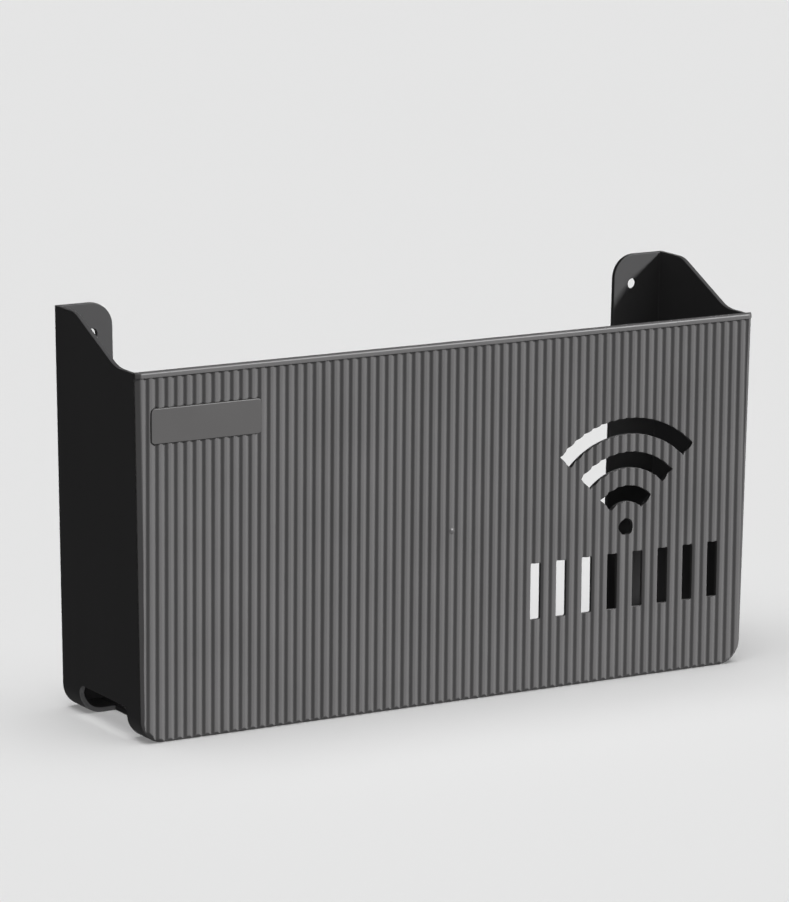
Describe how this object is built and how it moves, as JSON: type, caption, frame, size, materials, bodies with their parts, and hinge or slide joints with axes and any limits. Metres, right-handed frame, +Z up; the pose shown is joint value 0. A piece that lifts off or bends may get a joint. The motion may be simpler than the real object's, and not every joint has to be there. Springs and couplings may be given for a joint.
{
  "type": "router holder",
  "caption": "Wall-hung open tray that holds a router: fluted front with a fan cut-out, side walls rising into screw ears, open back and top, cable cut-outs below.",
  "frame": {"origin": "bottom centre of the box that encloses the holder, under the middle of the floor panel", "axes": "+X to the right seen from the front, along the width; +Y from the fluted front to the wall; +Z up"},
  "size_m": [0.245, 0.06, 0.14],
  "materials": {
    "front_plastic": "satin",
    "badge_plastic": "satin",
    "side_plastic": "fine matt texture",
    "floor_plastic": "fine matt texture"
  },
  "bodies": {
    "root": {"front_panel": "front_plastic", "badge_plate": "badge_plastic", "left_side_panel": "side_plastic", "right_side_panel": "side_plastic", "floor_panel": "floor_plastic"}
  },
  "joints": []
}
